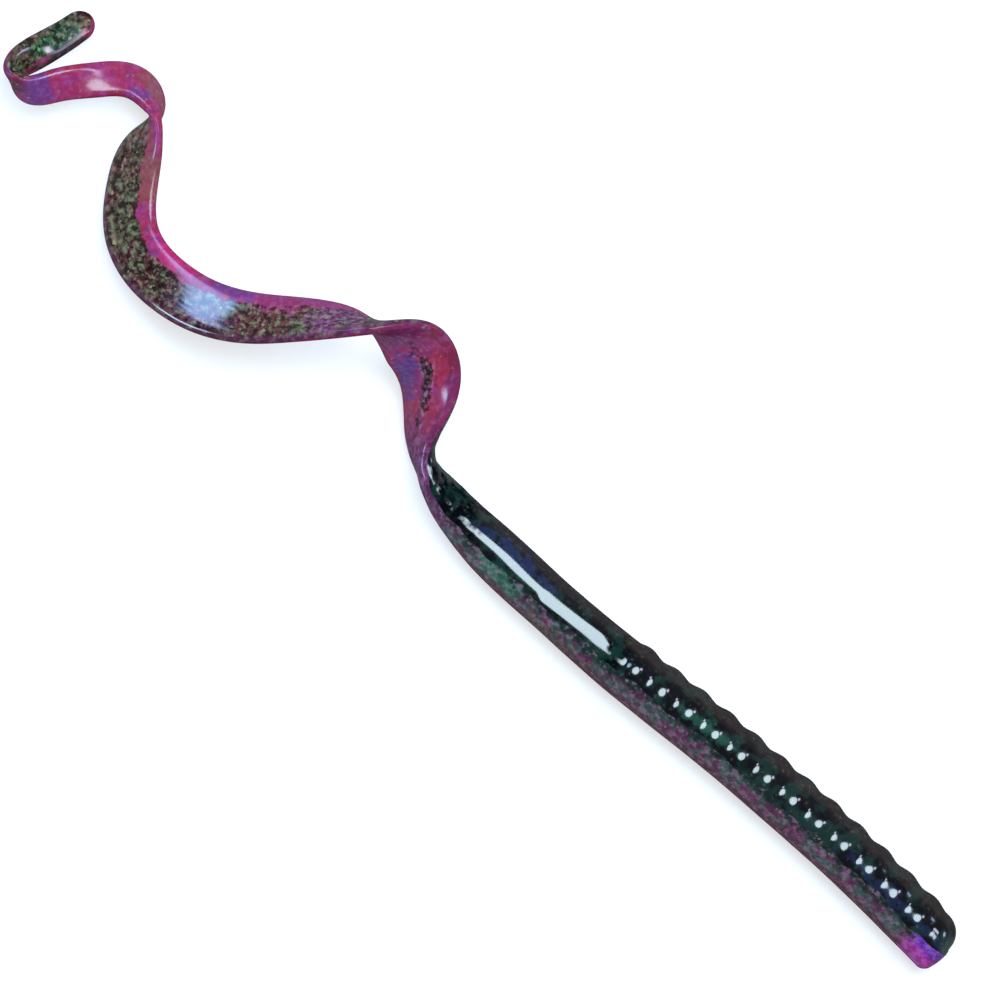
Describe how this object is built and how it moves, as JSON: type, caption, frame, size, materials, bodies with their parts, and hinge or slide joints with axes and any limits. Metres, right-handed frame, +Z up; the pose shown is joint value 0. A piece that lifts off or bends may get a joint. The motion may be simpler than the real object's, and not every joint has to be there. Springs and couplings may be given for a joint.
{
  "type": "soft plastic worm",
  "caption": "Two-colour ribbed soft plastic worm with a smooth rear sack and a long, flat, corkscrewed ribbon tail.",
  "frame": {"origin": "centre of the bounding box, on the table that the worm lies on", "axes": "+X to the nose, along the body; +Y to the dark back, which leans 12 degrees up off the table; +Z up"},
  "size_m": [0.147, 0.0202, 0.014],
  "materials": {
    "back_plastic": "wet gloss, translucent black-green with green and gold flakes",
    "belly_plastic": "wet gloss, translucent magenta"
  },
  "bodies": {
    "nose_body": {"nose_back": "back_plastic", "nose_belly": "belly_plastic"},
    "ribbed_body": {"ribbed_back": "back_plastic", "ribbed_belly": "belly_plastic"},
    "sack_body": {"sack_back": "back_plastic", "sack_belly": "belly_plastic"},
    "curl_1_body": {"curl_1_back": "back_plastic", "curl_1_belly": "belly_plastic"},
    "curl_2_body": {"curl_2_back": "back_plastic", "curl_2_belly": "belly_plastic"},
    "curl_3_body": {"curl_3_back": "back_plastic", "curl_3_belly": "belly_plastic"},
    "curl_4_body": {"curl_4_back": "back_plastic", "curl_4_belly": "belly_plastic"},
    "tip_body": {"tip_back": "back_plastic", "tip_belly": "belly_plastic"}
  },
  "joints": [
    {"name": "nose_flex", "type": "hinge", "parent": "ribbed_body", "child": "nose_body", "pos_m": [0.04706, -0.0031, 0.0036], "axis": [0, 0, 1], "range_deg": [-18, 18], "stiffness_Nm_per_rad": 0.02},
    {"name": "sack_flex", "type": "hinge", "parent": "ribbed_body", "child": "sack_body", "pos_m": [0.0239, -0.0031, 0.0036], "axis": [0, 0, -1], "range_deg": [-18, 18], "stiffness_Nm_per_rad": 0.02},
    {"name": "root_flex", "type": "hinge", "parent": "sack_body", "child": "curl_1_body", "pos_m": [-0.0089, -0.0012, 0.0038], "axis": [0, 0, 1], "range_deg": [-25, 25], "stiffness_Nm_per_rad": 0.006},
    {"name": "first_turn_flex", "type": "hinge", "parent": "curl_1_body", "child": "curl_2_body", "pos_m": [-0.0217, 0.0057, 0.0104], "axis": [0, 0, 1], "range_deg": [-30, 30], "stiffness_Nm_per_rad": 0.006},
    {"name": "bow_flex", "type": "hinge", "parent": "curl_2_body", "child": "curl_3_body", "pos_m": [-0.0431, -0.0068, 0.0062], "axis": [-0.04, 0.9992, 0], "range_deg": [-8, 30], "stiffness_Nm_per_rad": 0.006},
    {"name": "second_turn_flex", "type": "hinge", "parent": "curl_3_body", "child": "curl_4_body", "pos_m": [-0.057, 0.0067, 0.003], "axis": [0, 0, 1], "range_deg": [-22, 22], "stiffness_Nm_per_rad": 0.003},
    {"name": "tip_flex", "type": "hinge", "parent": "curl_4_body", "child": "tip_body", "pos_m": [-0.067, 0.0013, 0.0072], "axis": [0.7349, -0.5338, -0.4183], "range_deg": [-12, 30], "stiffness_Nm_per_rad": 0.003}
  ]
}
